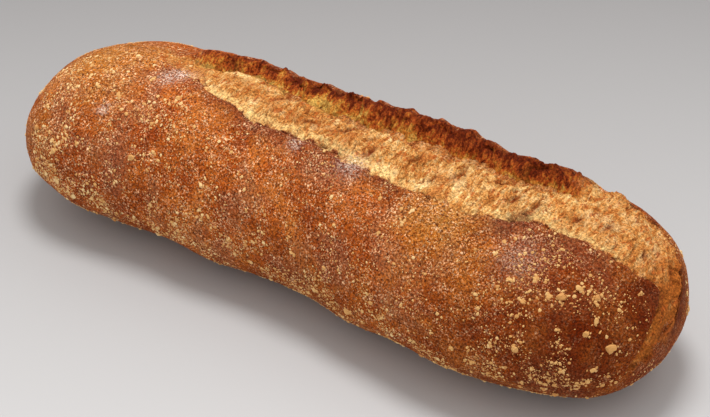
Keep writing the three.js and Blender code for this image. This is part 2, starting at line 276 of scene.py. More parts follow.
def crust_relief(points):
    rise = np.zeros(points.shape[:-1])
    for dent in DENTS:
        centre = body_point(np.float64(dent["x"]), np.radians(dent["angle"]))
        away = np.linalg.norm(points - centre, axis=-1)
        rise -= dent["depth"] * bell(away / dent["reach"])
    for i in range(WAVE_COUNT):
        tilt = (i + 0.5) / WAVE_COUNT
        flat = math.sqrt(1 - tilt**2)
        turn = i * GOLDEN_ANGLE
        heading = np.array([flat * math.cos(turn), flat * math.sin(turn), tilt])
        length = WAVE_LENGTH * WAVE_SHRINK**i
        rise += WAVE_HEIGHT * WAVE_SHRINK**i * np.sin(2 * math.pi * (points @ heading) / length + i)
    return rise


# %% [markdown]
# ## Fine relief of the crust
#
# The measured solid stops at ridges of a few millimetres. The real skin goes finer: the crust is
# sandy and softly blistered, and its torn edge is ragged. Blender's noise functions give this.
# The slash gets its own, much finer piece later, so the crust sinks a little wherever that piece
# takes over. `lead` says how far inside the slash a point is, in millimetres.

# %% Noise read in millimetres


def noise_at(points, size, stretch=(1, 1, 1), seed=0):
    spots = points / (size * np.array(stretch, float)) + 17.3 * seed
    return np.array([noise.noise(Vector(p)) for p in spots.reshape(-1, 3)]).reshape(points.shape[:-1])


def folds_at(points, size, stretch=(1, 1, 1), seed=0):
    """Noise folded at zero: round lumps with sharp creases between them, from 0 upward."""
    return 2 * np.abs(noise_at(points, size, stretch, seed))


def warped(points, size, reach, seed):
    spots = points / size + 17.3 * seed
    return points + reach * np.array([noise.noise_vector(Vector(p)) for p in spots])


# %% The fine relief's dimensions
EDGE_RAGS = [{"size": 9, "height": 1.3}, {"size": 3.4, "height": 1.7}, {"size": 1.3, "height": 0.7}]
TONGUES = [
    {"place": 68, "reach": 9, "height": -2}, {"place": 98, "reach": 9, "height": 2.6},
    {"place": 130, "reach": 12, "height": 1.2}, {"place": -12, "reach": 30, "height": 1.6},
]
WEB = {"size": 9, "height": 2.6}
# A painted shadow line along the ear's root: how far above the crumb's crest, how wide, how dark.
ROOT_SHADOW = {"from_crest": 3.6, "width": 1.1, "darkness": 1.8}
EAR_ENDS = (92, 104)
SEAM_WIDTH = 0.7
END_RAG = {"size": 6, "height": 9}
BRIDGE = {"from": 40, "to": 80, "soft": 6}
SLASH_FADE = (-97, 187)
FAR_BORDER = {"beside": 2.6, "over_the_end": -0.8, "turns": (112, 128)}
CRUST_SINK = 1.6
SAND = {"size": 1.3, "height": 0.12}
BLISTER = {"size": 9, "height": 0.3}

# Blisters and pits beside the slash: place along, angle round, reach and height.
BLISTERS = [
    {"x": 89, "angle": 103.5, "reach": 3.3, "height": 2.3},
    {"x": 86, "angle": 108, "reach": 1.7, "height": -2},
    {"x": 105, "angle": 107, "reach": 6, "height": 0.6},
    {"x": -97, "angle": 131, "reach": 2.2, "height": 0.5},
    {"x": -3, "angle": 117, "reach": 3.5, "height": 0.6},
]

# %% Masks and relief of the crust


def bumps(points, marks, size):
    total = np.zeros(points.shape[:-1])
    for mark in marks:
        centre = body_point(np.float64(mark["x"]), np.radians(mark["angle"]))
        away = np.linalg.norm(points - centre, axis=-1)
        total += mark[size] * bell(away / mark["reach"])
    return total


def slash_parts(points):
    """The slash's lines and masks at points of the plain body."""
    place = slash_distance(points)
    on_top = (points[..., 2] > WAIST_HEIGHT) | (points[..., 0] > OVER_THE_END[1])
    ragged = sum(
        rag["height"] * noise_at(points, rag["size"], seed=i) for i, rag in enumerate(EDGE_RAGS)
    )
    y = points[..., 1]
    tongues = sum(tongue["height"] * bell((place - tongue["place"]) / tongue["reach"]) for tongue in TONGUES)
    edge = edge_at(place) + ragged + tongues
    crest = crest_at(place)
    rim = rim_at(place)
    ends = np.minimum(place - SLASH_FADE[0], SLASH_FADE[1] - place) / 3
    ends = ends + END_RAG["height"] / 3 * noise_at(points, END_RAG["size"], seed=4)
    turned = smoothstep(place, *FAR_BORDER["turns"])
    border = rim + FAR_BORDER["beside"] + turned * (FAR_BORDER["over_the_end"] - FAR_BORDER["beside"])
    border = border + 0.5 * ragged
    lead = np.minimum(np.minimum(y - edge, border - y), ends)
    lead = np.where(on_top, lead, -9)
    opened = smoothstep(place, *CRUMB_FADE_IN) * (1 - smoothstep(place, *CRUMB_FADE_OUT)) * on_top
    ear_here = 1 - smoothstep(place, *EAR_ENDS)
    frayed = y + 0.5 * ragged + WEB["height"] * noise_at(points, WEB["size"], seed=14)
    blurred = 0.3 + 1.6 * smoothstep(place, 148, 168)
    crumb = smoothstep(lead / blurred, -1, 1) * (1 - ear_here * smoothstep(frayed, crest + 2, crest + 5.5))
    inner = smoothstep(frayed, crest + 1, crest + 5) * (1 - smoothstep(y, rim - 0.6, rim + 0.6)) * opened * ear_here
    seam = bell((y - border) / SEAM_WIDTH) * opened * smoothstep(place, 110, 125)
    seam = seam * smoothstep(noise_at(points, 5, seed=15), -0.25, 0.1)
    up_ear = smoothstep(y, rim - EAR_INNER_RUN - 1.5, rim)
    bridge = smoothstep(place, BRIDGE["from"] - BRIDGE["soft"], BRIDGE["from"] + BRIDGE["soft"])
    bridge = bridge * (1 - smoothstep(place, BRIDGE["to"] - BRIDGE["soft"], BRIDGE["to"] + BRIDGE["soft"]))
    return {"place": place, "y": y, "edge": edge, "crest": crest, "rim": rim, "opened": opened,
            "crumb": crumb, "inner": inner, "up_ear": up_ear, "on_top": on_top, "lead": lead,
            "bridge": bridge, "ear_here": ear_here, "seam": seam,
            "beyond": smoothstep(y - border, 0, 1) * bell((y - border) / 7) * turned * on_top}


def skin(x, angle):
    """The finished crust over an address of the plain body, with the masks that colour it."""
    points = body_point(x, angle)
    parts = slash_parts(points)
    rise, lean = slash_relief(parts["place"], parts["y"])
    covered = smoothstep(parts["lead"], -0.3, 0.3)
    sand = SAND["height"] * noise_at(points, SAND["size"], seed=7)
    sand += BLISTER["height"] * noise_at(points, BLISTER["size"], seed=8)
    fine = (1 - covered) * (sand + bumps(points, BLISTERS, "height")) - CRUST_SINK * covered
    lift = np.where(parts["on_top"], rise, 0) + fine + crust_relief(points)
    moved = points + outward(points) * lift[..., None]
    moved[..., 1] += np.where(parts["on_top"], lean, 0)
    moved[..., 2] = np.maximum(moved[..., 2], 0)
    return moved, parts


# %% [markdown]
# ## The crust's mesh
#
# We start from Blender's own sphere, turned so that its poles lie on the loaf's two tips, and
# move each vertex to its place. A sphere keeps the skin one closed piece with no seam. Its rings
# are spread evenly along the loaf, and its columns are gathered where the slash needs them: one
# run of columns for each zone round the section.

# %% Rings and columns
RINGS = 560
STRAIGHT_SHARE = 0.7
STRAIGHT_REACH = 0.8
ZONE_COLUMNS = [14, 14, 6, 6, 4, 18, 8, 54, 38]
TIP_ANGLES = [52, 73, 75, 80, 85, 106, 109, 180, 360]
TIP_SECTION = (0.42, 0.72)
WIDEST_COSINE = 0.95


def station_share(share):
    size = np.abs(share)
    turn = math.pi / 2 * (size - STRAIGHT_SHARE) / (1 - STRAIGHT_SHARE)
    rounded = STRAIGHT_REACH + (1 - STRAIGHT_REACH) * np.sin(np.clip(turn, 0, math.pi / 2))
    return np.where(size < STRAIGHT_SHARE, share * STRAIGHT_REACH / STRAIGHT_SHARE, np.sign(share) * rounded)


def zone_angles(x):
    scale = section_scale(x)
    follow = smoothstep(scale, *TIP_SECTION)
    edge, crest = edge_at(x), crest_at(x)
    rim = rim_at(x)
    lines = np.array([
        rim + EAR_OUTER_RUN, rim + FAR_BORDER["beside"] + 1, rim - RIM_HALF_WIDTH, crest + CLEFT_FROM_CREST,
        crest, edge + 3, edge - 3,
    ])
    angles = np.radians(np.array(TIP_ANGLES, float))
    if follow > 0:
        cosines = np.clip(lines / (half_width(x, lines > 0) * scale), -WIDEST_COSINE, WIDEST_COSINE)
        angles[: len(lines)] += follow * (np.arccos(cosines) - angles[: len(lines)])
    return angles


# %% A sphere, and where each of its vertices lies on it


def mesh_piece(name, bm):
    mesh = bpy.data.meshes.new(name)
    bm.to_mesh(mesh)
    bm.free()
    piece = bpy.data.objects.new(name, mesh)
    bpy.context.scene.collection.objects.link(piece)
    return piece


def sphere_grid(rings, columns):
    """A sphere with its poles on X, and the ring and the column of each vertex."""
    bm = bmesh.new()
    bmesh.ops.create_uvsphere(bm, u_segments=columns, v_segments=rings, radius=1)
    bmesh.ops.rotate(bm, verts=bm.verts, matrix=Matrix.Rotation(math.pi / 2, 3, "Y"))
    places = np.array([v.co[:] for v in bm.verts])
    ring = np.rint((1 - np.arccos(np.clip(places[:, 0], -1, 1)) / math.pi) * rings).astype(int)
    turn = np.arctan2(places[:, 2], places[:, 1]) / (2 * math.pi) % 1
    return bm, ring, np.rint(turn * columns).astype(int) % columns


def shaped(name, bm, points):
    for vertex, place in zip(bm.verts, points * MM):
        vertex.co = place
    bmesh.ops.recalc_face_normals(bm, faces=bm.faces)
    for face in bm.faces:
        face.smooth = True
    return mesh_piece(name, bm)


# %% Draw the sphere out to the loaf
ball, ring, column = sphere_grid(RINGS, sum(ZONE_COLUMNS))
x_of_ring = station_share(2 * np.arange(RINGS + 1) / RINGS - 1) * LENGTH / 2
zone_ends = np.concatenate([[0], np.cumsum(ZONE_COLUMNS)])
angle_of = np.array([
    np.interp(np.arange(sum(ZONE_COLUMNS)), zone_ends, np.concatenate([[0], zone_angles(x)]))
    for x in x_of_ring
])
skin_x, skin_angle = x_of_ring[ring], angle_of[ring, column]
skin_points, skin_parts = skin(skin_x, skin_angle)

# %% [markdown]
# The measured solid stands on z = 0 with its box centred on the origin. The same shift brings
# the fine skin, and later the slash and every grit, into that place.

# %% Set the crust on the measured loaf
low, high = (np.array(corner) / MM for corner in measured_box)
own_middle = (skin_points.min(axis=0) + skin_points.max(axis=0)) / 2
SHIFT = np.array([(low + high)[0] / 2 - own_middle[0], (low + high)[1] / 2 - own_middle[1], 0])
loaf = shaped("baked_loaf", ball, np.clip(skin_points + SHIFT, low, high))
print("crust:", len(loaf.data.polygons), "faces, shift", SHIFT.round(2))

# %% [markdown]
# ## The torn slash
#
# Dough tears like wet felt: it parts in flakes and folds that overlap, with crevices between, and
# the ear's inner face is all lumps and pockets. So the slash is a piece of its own, three times
# finer than the crust. It is a sphere again, drawn out to a long sliver that lies in the crust:
# most of its columns cover the slash, the last few close it underneath, out of sight.

# %% From a place in the slash to an address on the body
BISECTIONS = 40


def slash_address(place, y):
    """Halve the loaf's length again and again to find where the distance along the slash fits."""
    near, far = np.full(place.shape, -LENGTH / 2), np.full(place.shape, LENGTH / 2)
    for _ in range(BISECTIONS):
        x = (near + far) / 2
        reach = half_width(x, y > 0) * section_scale(x)
        angle = np.arccos(np.clip(y / np.maximum(reach, 0.01), -1, 1))
        short = (np.abs(y) < reach) & (slash_distance(body_point(x, angle)) < place)
        near, far = np.where(short, x, near), np.where(short, far, x)
    reach = half_width(near, y > 0) * section_scale(near)
    return near, np.arccos(np.clip(y / reach, -1, 1))


# %% The crags' dimensions
CRAG_WARPS = [{"size": 7, "reach": 2.6}, {"size": 2.4, "reach": 0.9}]
LUMPS = [
    {"size": 12, "stretch": (1, 1.5, 1), "height": 1.8},
    {"size": 4.6, "stretch": (1, 2, 1), "height": 0.7},
    {"size": 2, "stretch": (1, 2.4, 1), "height": 0.35},
    {"size": 0.9, "stretch": (1, 1.6, 1), "height": 0.2},
]
LUMP_MEAN = 0.42
FLAKES = [
    {"length": 9, "height": 1.5, "wave": 12, "bend": 1.3},
    {"length": 3.6, "height": 0.6, "wave": 6, "bend": 1.0},
]
FLAKE_SLANT = 0.15
CRACK = {"size": 6, "stretch": (1, 2, 1), "width": 0.05, "where": 9, "depth": 1.1}
EAR_LUMPS = [
    {"size": 7, "sway": 2.6, "rise": 1.5}, {"size": 3, "sway": 1.7, "rise": 1.3},
    {"size": 1.3, "sway": 0.8, "rise": 0.7},
]
RIM_RAGS = [{"size": 5, "height": 1.2}, {"size": 2.1, "height": 1.0}, {"size": 1, "height": 0.5}]

# Pockets and webs under the ear: place along, from the crest line, reach, and depth into it.
POCKETS = [
    {"place": -63, "from_crest": 5.5, "reach": (5, 2.6), "depth": 1.8},
    {"place": -55, "from_crest": 9.5, "reach": (5, 3), "depth": -0.9},
    {"place": -46.5, "from_crest": 7, "reach": (4.5, 2.4), "depth": 2.6},
    {"place": -37, "from_crest": 9, "reach": (4.5, 3), "depth": -0.9},
    {"place": -29.5, "from_crest": 7.5, "reach": (4, 2.8), "depth": 3.8},
    {"place": -21, "from_crest": 10.5, "reach": (2.8, 2), "depth": 2.6},
    {"place": -16, "from_crest": 12, "reach": (3, 2), "depth": -0.7},
    {"place": -9.5, "from_crest": 8.5, "reach": (5, 3.2), "depth": -1.2},
    {"place": -0.5, "from_crest": 8.5, "reach": (4, 2.2), "depth": 2.8},
    {"place": 8, "from_crest": 7.5, "reach": (4, 2.4), "depth": -0.9},
    {"place": 20.5, "from_crest": 7, "reach": (5, 2), "depth": 2.4},
    {"place": 30, "from_crest": 8, "reach": (3.5, 2.6), "depth": -0.8},
    {"place": 38, "from_crest": 6.5, "reach": (6, 2), "depth": 2.4},
    {"place": 50, "from_crest": 7, "reach": (3.5, 2.6), "depth": -0.8},
    {"place": 59, "from_crest": 6, "reach": (7, 1.9), "depth": 2},
    {"place": 80, "from_crest": 6.5, "reach": (5, 1.9), "depth": 1.8},
]

# Folds torn in the crumb: place along and y, heading in degrees from +X, length and depth.
FOLDS = [
    {"at": (-30, 3), "heading": 65, "length": 9, "depth": 1.3},
    {"at": (49, -10), "heading": 70, "length": 5, "depth": 1.4},
    {"at": (57, -4.5), "heading": 80, "length": 13, "depth": 1.7},
    {"at": (82, -5), "heading": 81, "length": 7, "depth": 1.3},
    {"at": (91, -4.7), "heading": 89, "length": 6, "depth": 1.2},
    {"at": (73, 1), "heading": 40, "length": 7, "depth": 1.1},
    {"at": (37, -3), "heading": 60, "length": 6, "depth": 1.0},
    {"at": (20, -9), "heading": 75, "length": 7, "depth": 0.9},
    {"at": (4, -3), "heading": 40, "length": 9, "depth": 0.9},
    {"at": (-12, -5), "heading": 25, "length": 9, "depth": 0.9},
    {"at": (108, -1), "heading": 75, "length": 6, "depth": 0.9},
    {"at": (122, 2), "heading": 80, "length": 7, "depth": 1.0},
    {"at": (145, 2.2), "heading": -60, "length": 6, "depth": 1.3},
    {"at": (161, 8), "heading": -25, "length": 8, "depth": 1.3},
]
FOLD_WIDTH = 0.9
FLAP_WIDTH = 1.8
SLASH_DROP = 2.4

# %% Crags of the crumb and lumps of the ear


def fold_relief(parts):
    rise = np.zeros(parts["place"].shape)
    dark = np.zeros(rise.shape)
    for fold in FOLDS:
        heading = math.radians(fold["heading"])
        dx = parts["place"] - fold["at"][0]
        dy = parts["y"] - fold["at"][1]
        run = dx * math.cos(heading) + dy * math.sin(heading)
        off = dy * math.cos(heading) - dx * math.sin(heading) - 0.04 * run**2
        ends = bell(run / (0.55 * fold["length"]))
        groove = ends * bell(off / FOLD_WIDTH)
        rise += fold["depth"] * (0.7 * ends * bell((off + 1.8) / FLAP_WIDTH) - groove)
        # Painted shade along each fold's groove.
        dark = np.maximum(dark, ends * bell((off + 0.3) / (1.7 * FOLD_WIDTH)))
    return rise, dark


def crags(points, parts):
    """Height of the torn crumb over its bed, and where its cracks and folds get painted shade."""
    torn = points
    for i, warp in enumerate(CRAG_WARPS):
        torn = warped(torn, warp["size"], warp["reach"], seed=20 + i)
    finer = 1 - 0.55 * smoothstep(parts["place"], 85, 110)
    height = sum(
        np.where(lump["size"] > 3, finer, 1) * lump["height"]
        * (folds_at(torn, lump["size"], lump["stretch"], seed=30 + i) - LUMP_MEAN)
        for i, lump in enumerate(LUMPS)
    )
    for i, flake in enumerate(FLAKES):
        bend = flake["bend"] * noise_at(points, flake["wave"], seed=40 + i)
        turn = ((points[..., 0] + FLAKE_SLANT * points[..., 1]) / flake["length"] + bend) % 1
        strength = np.clip(0.3 + 2 * noise_at(points, flake["wave"], seed=44 + i), 0, 1)
        step = np.where(turn < 0.92, turn / 0.92, (1 - turn) / 0.08)
        height += flake["height"] * strength * (step - 0.5)
    line = np.abs(noise_at(torn, CRACK["size"], CRACK["stretch"], seed=50))
    crack = 1 - smoothstep(line, CRACK["width"] / 3, CRACK["width"])
    crack = crack * smoothstep(noise_at(points, CRACK["where"], seed=51), 0, 0.25) * finer
    folds, fold_shade = fold_relief(parts)
    height += folds - CRACK["depth"] * crack
    return height, np.maximum(0.7 * crack, fold_shade)


def slash_skin(place, y, sunk):
    """The torn slash at a distance along it and a plan y, sunk by some millimetres."""
    points = body_point(*slash_address(place, y))
    parts = slash_parts(points)
    rise, lean = slash_relief(parts["place"], np.maximum(parts["y"], edge_at(parts["place"]) + TEAR_STEP))
    # The second value marks cracks and fold grooves, which the crumb's colour darkens as painted shade.
    height, crevice_shade = crags(points, parts)
    in_bed = 1 - parts["ear_here"] * smoothstep(parts["y"], parts["crest"] + 1, parts["crest"] + 5)
    calm = 0.45 + 0.55 * smoothstep(parts["place"], -80, 0) - 0.35 * smoothstep(parts["place"], 150, 175)
    wall = parts["inner"] * np.clip(along(EAR_RISE, parts["place"]) / 4, 0.15, 1.2)
    wall = wall * smoothstep(parts["place"], -95, -50)
    held = 1 - smoothstep(parts["y"], parts["rim"] - 3.2, parts["rim"] - 0.2)
    lumps = sum(lump["rise"] * noise_at(points, lump["size"], seed=60 + i) for i, lump in enumerate(EAR_LUMPS))
    sway = sum(lump["sway"] * noise_at(points, lump["size"], seed=64 + i) for i, lump in enumerate(EAR_LUMPS))
    pockets = sum(
        pocket["depth"] * bell(np.hypot((parts["y"] - parts["crest"] - pocket["from_crest"]) / pocket["reach"][1],
                                        (parts["place"] - pocket["place"]) / pocket["reach"][0]))
        for pocket in POCKETS
    )
    on_rim = bell((parts["y"] - parts["rim"]) / 1.8) * np.clip(along(EAR_RISE, parts["place"]) / 5, 0.2, 1)
    on_rim = on_rim * (0.3 + 0.7 * smoothstep(parts["place"], -80, -40))
    rags = sum(rag["height"] * noise_at(points, rag["size"], seed=70 + i) for i, rag in enumerate(RIM_RAGS))
    hidden = 1 - smoothstep(parts["lead"], -1.6, -0.3)
    bridged = 0.8 * parts["bridge"] * bell((parts["lead"] - 1) / 2.5)
    pockets = pockets * parts["inner"] * held
    lift = rise + calm * in_bed * height + wall * lumps - 0.5 * pockets + on_rim * rags
    lift = lift + bridged - SLASH_DROP * hidden - sunk + crust_relief(points) - parts["seam"]
    lift = lift + 0.7 * bumps(points, BLISTERS, "height")
    moved = points + outward(points) * lift[..., None]
    moved[..., 1] += lean + wall * held * sway + pockets
    parts.update(tooth=calm * height, creased=crevice_shade * (1 - parts["inner"]), pocket=pockets)
    return moved, parts


# %% Draw a sphere out to the slash
SLASH_RINGS = 850
SLASH_ZONES = [("near", 64), ("crest", 34), ("rim", 12)]
UNDER_COLUMNS = 2
SLASH_ENDS = (-104, 191)
NEAR_MARGIN = 3.4
FAR_MARGIN = 4.4
UNDER_DEPTH = 3
END_RINGS = 12

ball, ring, column = sphere_grid(SLASH_RINGS, sum(n for _, n in SLASH_ZONES) + UNDER_COLUMNS)
slash_place = SLASH_ENDS[0] + (SLASH_ENDS[1] - SLASH_ENDS[0]) * ring / SLASH_RINGS
line_of = {
    "start": edge_at(slash_place) - NEAR_MARGIN, "near": crest_at(slash_place),
    "crest": rim_at(slash_place) + RIM_HALF_WIDTH, "rim": rim_at(slash_place) + FAR_MARGIN,
}
slash_y = np.zeros(len(ring))
first, before = 0, "start"
for zone, count in SLASH_ZONES:
    share = np.clip((column - first) / count, 0, 1)
    slash_y = np.where(column >= first, line_of[before] + share * (line_of[zone] - line_of[before]), slash_y)
    first, before = first + count, zone
under = column > first
middle = (line_of["start"] + line_of["rim"]) / 2
slash_y = np.where(under, middle, slash_y)
narrow = np.sqrt(np.clip(np.minimum(ring, SLASH_RINGS - ring) / END_RINGS, 0, 1))
slash_y = middle + narrow * (slash_y - middle)
slash_points, slash_masks = slash_skin(slash_place, slash_y, UNDER_DEPTH * under)
torn_slash = shaped("torn_slash", ball, np.clip(slash_points + SHIFT, low, high))
print("slash:", len(torn_slash.data.polygons), "faces")


def paint(piece, name, values):
    attribute = piece.data.attributes.new(name, "FLOAT", "POINT")
    attribute.data.foreach_set("value", np.asarray(values, np.float32))


# %% [markdown]
# ## What the oven did, as masks
#
# Colour on bread follows its history: thin edges scorch, the torn crumb stays golden, flour from
# the bench keeps some spots pale. Each is painted on the vertices as a number from 0 to 1, which
# the material mixes by.

# %% Scorch, flour and gold
SCORCHES = [
    {"x": 89, "angle": 103.5, "reach": 5.5, "amount": 1.0},
    {"x": 86, "angle": 108, "reach": 2.5, "amount": 1.0},
    {"x": 144, "angle": 108, "reach": 5, "amount": 0.8},
    {"x": 105, "angle": 107, "reach": 7, "amount": 0.6},
    {"x": 2, "angle": 116, "reach": 7, "amount": 0.6},
]
FLOURED = [
    {"x": -76, "angle": 93, "reach": 5, "amount": 0.9},
    {"x": -80, "angle": 99, "reach": 4.5, "amount": 0.7},
    {"x": -97, "angle": 130, "reach": 2.5, "amount": 0.7},
    {"x": 17, "angle": 114, "reach": 5, "amount": 0.7},
    {"x": -9, "angle": 115, "reach": 3, "amount": 0.6},
    {"x": 97, "angle": 124, "reach": 9, "amount": 0.2},
]
GOLDEN = [
    {"x": -117, "angle": 92, "reach": 22, "amount": 1.0},
    {"x": -100, "angle": 84, "reach": 14, "amount": 0.8},
    {"x": -104, "angle": 112, "reach": 16, "amount": 0.6},
    {"x": 62, "angle": 118, "reach": 18, "amount": 1.0},
    {"x": 76, "angle": 130, "reach": 16, "amount": 0.5},
    {"x": -128, "angle": 150, "reach": 14, "amount": 0.4},
]
# Patches painted darker at the right end and along the lower near side: partly a browner bake, partly painted
# shade.
DARKER = [
    {"x": 143, "angle": 125, "reach": 28, "amount": 1.0},
    {"x": 128, "angle": 155, "reach": 46, "amount": 1.0},
    {"x": 90, "angle": 178, "reach": 34, "amount": 0.6},
    {"x": 20, "angle": 188, "reach": 24, "amount": 0.4},
    {"x": 148, "angle": 78, "reach": 20, "amount": 0.9},
]


def spots(points, marks):
    amount = np.zeros(len(points))
    for mark in marks:
        centre = body_point(np.float64(mark["x"]), np.radians(mark["angle"]))
        away = np.linalg.norm(points - centre, axis=-1)
        amount = np.maximum(amount, mark["amount"] * bell(away / mark["reach"]))
    return amount


def paint_masks(piece, points, parts):
    near_edge = parts["edge"] - parts["y"]
    strip = smoothstep(near_edge, -0.4, 0.6) * bell(np.clip(near_edge, 0, None) / 5)
    lip_share = np.clip(along(CRUST_LIP, parts["place"]) / 1.3, 0, 1) * (1 - 0.8 * parts["bridge"])
    ear_share = np.clip(along(EAR_RISE, parts["place"]) / 5, 0, 1)
    rim_band = bell((parts["y"] - parts["rim"] - 0.6) / 2.4) * parts["opened"]
    early = smoothstep(parts["place"], -100, -70)
    strip = strip * lip_share * parts["opened"] * (1 - 0.8 * smoothstep(parts["place"], 88, 100))
    scorch = np.maximum(strip, spots(points, SCORCHES))
    paint(piece, "crumb", parts["crumb"])
    paint(piece, "inner", parts["inner"] * early)
    paint(piece, "up_ear", parts["up_ear"])
    early_rim = 0.4 * early + 0.6 * smoothstep(parts["place"], -80, -50)
    rim_band = rim_band * (0.1 + 0.9 * ear_share) * early_rim
    paint(piece, "rim", np.maximum(rim_band, 0.8 * parts["beyond"]))
    paint(piece, "seam", parts["seam"])
    paint(piece, "scorch", np.clip(scorch, 0, 1))
    paint(piece, "flour", spots(points, FLOURED))
    paint(piece, "gold", spots(points, GOLDEN))
    paint(piece, "darker", spots(points, DARKER))
    middle = bell((parts["y"] - 0.4 * parts["edge"] - 0.6 * parts["crest"]) / 5)
    middle = middle * (0.75 - 0.45 * smoothstep(parts["place"], -10, 40)) * parts["ear_here"]
    toasted = 1 - smoothstep(parts["place"], -80, -55) + 0.5 * smoothstep(parts["place"], 98, 118)
    toasted = toasted + 1.2 * smoothstep(parts["place"], 145, 168)
    paint(piece, "toasted", np.maximum(toasted, middle))
    cream = bell((parts["y"] - parts["edge"] - 2.2) / 2) * (1 - parts["bridge"]) * parts["opened"]
    cream = cream * smoothstep(parts["place"], -78, -50) * (1 - smoothstep(parts["place"], 125, 145))
    paint(piece, "cream", cream)
    paint(piece, "tooth", parts.get("tooth", 0 * parts["place"]))
    paint(piece, "creased", parts.get("creased", 0 * parts["place"]))
    # A painted shadow along the ear's root joins the pocket mask.
    root = ROOT_SHADOW["darkness"] * bell((parts["y"] - parts["crest"] - ROOT_SHADOW["from_crest"]) / ROOT_SHADOW["width"])
    paint(piece, "pocket", parts.get("pocket", 0 * parts["place"]) + root)


paint_masks(loaf, body_point(skin_x, skin_angle), skin_parts)
paint_masks(torn_slash, body_point(*slash_address(slash_place, slash_y)), slash_masks)
print("crumb covers", round(100 * float((slash_masks["crumb"] > 0.5).mean())), "% of the slash")

# %% [markdown]
# ## Corn grits
#
# Coarse meal sticks to the moist dough and bakes on. The largest grits sit where they do on the
# measured solid, thrown by the same seeded rule. Thousands of smaller ones follow the same
# density: thick on both ends and along the lower edge, thin amidships.

# %% The rule that places the large grits
GRIT_SEED = 20
GRIT_COUNT = 120
GRIT_RADIUS = (0.85, 1.4)
GRIT_STAND = 0.05
GRIT_SHAPE = (0.62, 1.35)
GRIT_CLEARANCE = 4.2
GRIT_TRIES = 6000
LOWEST_GRIT = 3
GRIT_FROM_TEAR = 2.5
GRIT_FROM_TIP = 2
GRIT_THICKNESS = {"everywhere": 0.1, "right_end": 0.25, "left_end": 0.3, "lower_edge": 0.4, "top": 0.8}
GRIT_DRIFTS = [
    {"x": 122, "angle": 124, "reach": 14, "amount": 0.9},
    {"x": 107, "angle": 125, "reach": 8, "amount": 0.6},
    {"x": 122, "angle": 150, "reach": 12, "amount": 0.5},
    {"x": 120, "angle": 178, "reach": 20, "amount": 0.4},
    {"x": 97, "angle": 134, "reach": 9, "amount": 0.5},
    {"x": 53, "angle": 123, "reach": 8, "amount": 0.4},
    {"x": -68, "angle": 131, "reach": 12, "amount": 0.6},
    {"x": -113, "angle": 103, "reach": 13, "amount": 0.8},
    {"x": -113, "angle": 154, "reach": 11, "amount": 0.8},
]
GRIT_RIGHT_END = (70, 120)
GRIT_LEFT_END = (-125, -80)
GRIT_LOWER_EDGE = {"up": -0.15, "reach": 0.3}
LARGE_GRITS = [
    (139, 158, 2.1), (118, 134, 1.8), (122, 127, 1.5), (132, 141, 1.5), (34, 193, 1.7),
    (-128, 153, 1.6), (-68, 112, 1.5), (108, 168, 1.5),
]
WORD = 0xFFFFFFFF


def random_from(seed):
    state = seed
    while True:
        state = (state + 0x6D2B79F5) & WORD
        t = ((state ^ (state >> 15)) * (1 | state)) & WORD
        t = ((t + (((t ^ (t >> 7)) * (61 | t)) & WORD)) & WORD) ^ t
        yield ((t ^ (t >> 14)) & WORD) / (WORD + 1)


def grit_density(x, angle):
    right = smoothstep(x, *GRIT_RIGHT_END)
    left = 1 - smoothstep(x, *GRIT_LEFT_END)
    lower = bell((np.sin(angle) - GRIT_LOWER_EDGE["up"]) / GRIT_LOWER_EDGE["reach"])
    spread = (GRIT_THICKNESS["everywhere"] + GRIT_THICKNESS["right_end"] * right
              + GRIT_THICKNESS["left_end"] * left + GRIT_THICKNESS["lower_edge"] * lower)
    on_top = 1 - np.clip(np.sin(angle), 0, 1) * (1 - GRIT_THICKNESS["top"])
    return np.minimum(1, spread * on_top + spots(body_point(x, angle), GRIT_DRIFTS))


def solid_skin(x, angle):
    """The measured solid's own skin, without the fine relief."""
    points = body_point(x, angle)
    rise, lean = slash_relief(slash_distance(points), points[..., 1])
    on_top = (np.sin(angle) > 0) | (x > OVER_THE_END[1])
    moved = points + outward(points) * (np.where(on_top, rise, 0) + crust_relief(points))[..., None]
    moved[..., 1] += np.where(on_top, lean, 0)
    moved[..., 2] = np.maximum(moved[..., 2], 0)
    return moved


def large_grit_places():
    draw = random_from(GRIT_SEED)
    tries = np.array([[next(draw) for _ in range(4)] for _ in range(GRIT_TRIES)])
    x = (tries[:, 0] - 0.5) * (LENGTH - GRIT_FROM_TIP)
    angle = tries[:, 1] * 2 * math.pi
    points = solid_skin(x, angle)
    distance = slash_distance(points)
    near_crust = points[:, 1] < edge_at(distance) - GRIT_FROM_TEAR
    far_crust = points[:, 1] > rim_at(distance) + GRIT_FROM_TEAR
    fits = (near_crust | far_crust) & (points[:, 2] > LOWEST_GRIT) & (tries[:, 3] < grit_density(x, angle))
    places = [(px, math.radians(degrees), radius) for px, degrees, radius in LARGE_GRITS]
    taken = [solid_skin(np.float64(px), np.float64(a)) for px, a, _ in places]
    for i in np.flatnonzero(fits):
        if len(places) == GRIT_COUNT:
            break
        if min(np.linalg.norm(np.array(taken) - points[i], axis=1)) >= GRIT_CLEARANCE:
            radius = GRIT_RADIUS[0] + (GRIT_RADIUS[1] - GRIT_RADIUS[0]) * tries[i, 2] ** 2
            places.append((x[i], angle[i], radius))
            taken.append(points[i])
    return np.array(places)


grit_places = large_grit_places()
print("large grits:", len(grit_places), "the last at", grit_places[-1].round(2))

# %% [markdown]
# ## Making thousands of grains
#
# A grain starts as a small sphere of few faces, from one operator. Copying it by operators
# thousands of times would be slow, so its vertices are copied as arrays: each copy is chipped by
# a few flat cuts, as milled corn is, then stretched, turned and set into the skin, and all of one
# kind are joined in one mesh. Each grain carries one random number, its tone, which the material
# turns into a paler or more toasted yellow.

# %% Grains set into the skin


CUT_DISTANCE = (0.5, 0.85)


def template(operator, settings):
    bm = bmesh.new()
    operator(bm, radius=1, **settings)
    bm.verts.ensure_lookup_table()
    points = np.array([v.co[:] for v in bm.verts])
    faces = np.array([[v.index for v in f.verts] for f in bm.faces])
    bm.free()
    return points, faces


